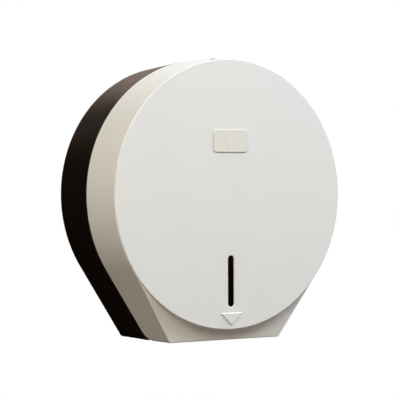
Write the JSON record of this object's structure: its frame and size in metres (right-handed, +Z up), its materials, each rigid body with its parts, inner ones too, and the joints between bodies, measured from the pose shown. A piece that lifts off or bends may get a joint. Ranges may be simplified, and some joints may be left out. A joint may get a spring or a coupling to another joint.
{
  "type": "jumbo toilet roll dispenser",
  "caption": "Round wall dispenser for a jumbo toilet roll, with a white cover that hinges down, a dark rear case, a roll hub, a key lock and steel tear strips at its open base.",
  "frame": {"origin": "on the spindle axis in the plane of the wall, at the middle of the four wall-screw holes", "axes": "+Z up, +Y into the wall, the round front panel looks along -Y, +X to the right seen from the front"},
  "size_m": [0.27, 0.1115, 0.2801],
  "materials": {
    "case_plastic": "semi-gloss dark moulding",
    "cover_plastic": "satin white moulding",
    "window_plastic": "smoked window moulding",
    "badge_plastic": "smooth cream, bare",
    "strip_steel": "stamped stainless steel",
    "pin_steel": "turned steel",
    "screw_steel": "zinc-plated steel",
    "washer_steel": "pressed steel",
    "washer_nylon": "natural nylon",
    "axle_plastic": "black acetal",
    "hub_plastic": "light grey moulding",
    "cap_plastic": "light grey moulding",
    "clip_steel": "spring steel",
    "lock_chrome": "plated zinc casting",
    "lock_brass": "turned brass",
    "cam_steel": "pressed, zinc-plated steel"
  },
  "bodies": {
    "case": {"rear_case": "case_plastic", "tear_strip_right": "strip_steel", "tear_strip_left": "strip_steel", "tear_strip_screws": "screw_steel", "hinge_pin_right": "pin_steel", "hinge_pin_left": "pin_steel", "spindle_axle": "axle_plastic", "axle_screws": "screw_steel", "thrust_washer": "washer_nylon", "retaining_washer": "washer_steel", "hub_screw": "screw_steel"},
    "cover": {"front_cover": "cover_plastic", "sight_window": "window_plastic", "window_clips": "clip_steel", "name_plate": "badge_plastic", "lock_housing": "lock_chrome", "lock_nut": "lock_brass"},
    "lock": {"lock_plug": "lock_brass", "lock_cam": "cam_steel", "cam_nut": "cam_steel"},
    "hub": {"roll_hub": "hub_plastic", "hub_cap": "cap_plastic"}
  },
  "joints": [
    {"name": "cover_hinge", "type": "hinge", "parent": "case", "child": "cover", "pos_m": [0, -0.0705, -0.133], "axis": [1, 0, 0], "range_deg": [0, 90]},
    {"name": "lock_turn", "type": "hinge", "parent": "cover", "child": "lock", "pos_m": [0, -0.09, 0.125], "axis": [0, 0, -1], "range_deg": [0, 90]},
    {"name": "hub_spin", "type": "hinge", "parent": "case", "child": "hub", "pos_m": [0, -0.05, 0], "axis": [0, 1, 0], "continuous": true}
  ]
}
